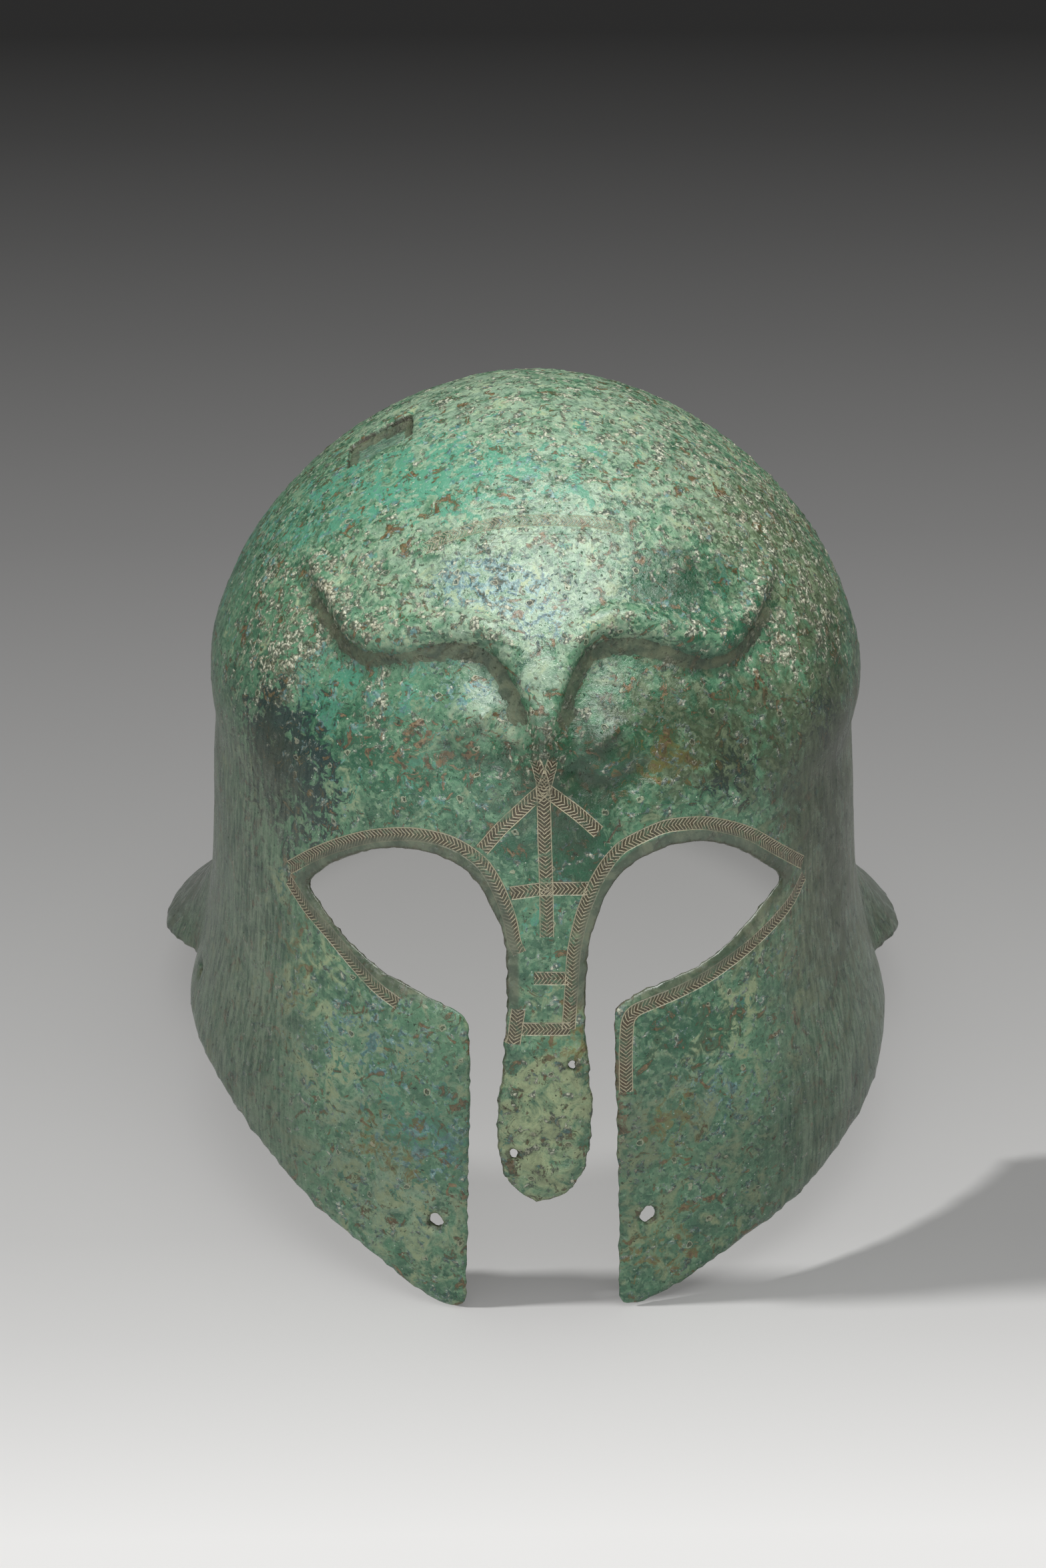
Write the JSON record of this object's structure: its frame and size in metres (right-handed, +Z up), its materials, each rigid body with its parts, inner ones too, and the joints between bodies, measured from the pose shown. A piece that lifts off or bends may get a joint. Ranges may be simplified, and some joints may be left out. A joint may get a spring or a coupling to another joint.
{
  "type": "corinthian helmet",
  "caption": "Bronze helmet of one sheet: high bowl, almond eye openings, nose guard, long cheek pieces and a flared neck guard, with green patina.",
  "frame": {"origin": "middle of the bounding box, on the surface that the helmet rests on", "axes": "+Z up, the face towards -Y, the wearer's left side towards +X"},
  "size_m": [0.2368, 0.2656, 0.2247],
  "materials": {
    "patinated_bronze": "buried bronze with a satin green and turquoise patina, granular beige crust, and brown engraved borders"
  },
  "bodies": {
    "root": {"helmet_shell": "patinated_bronze"}
  },
  "joints": []
}
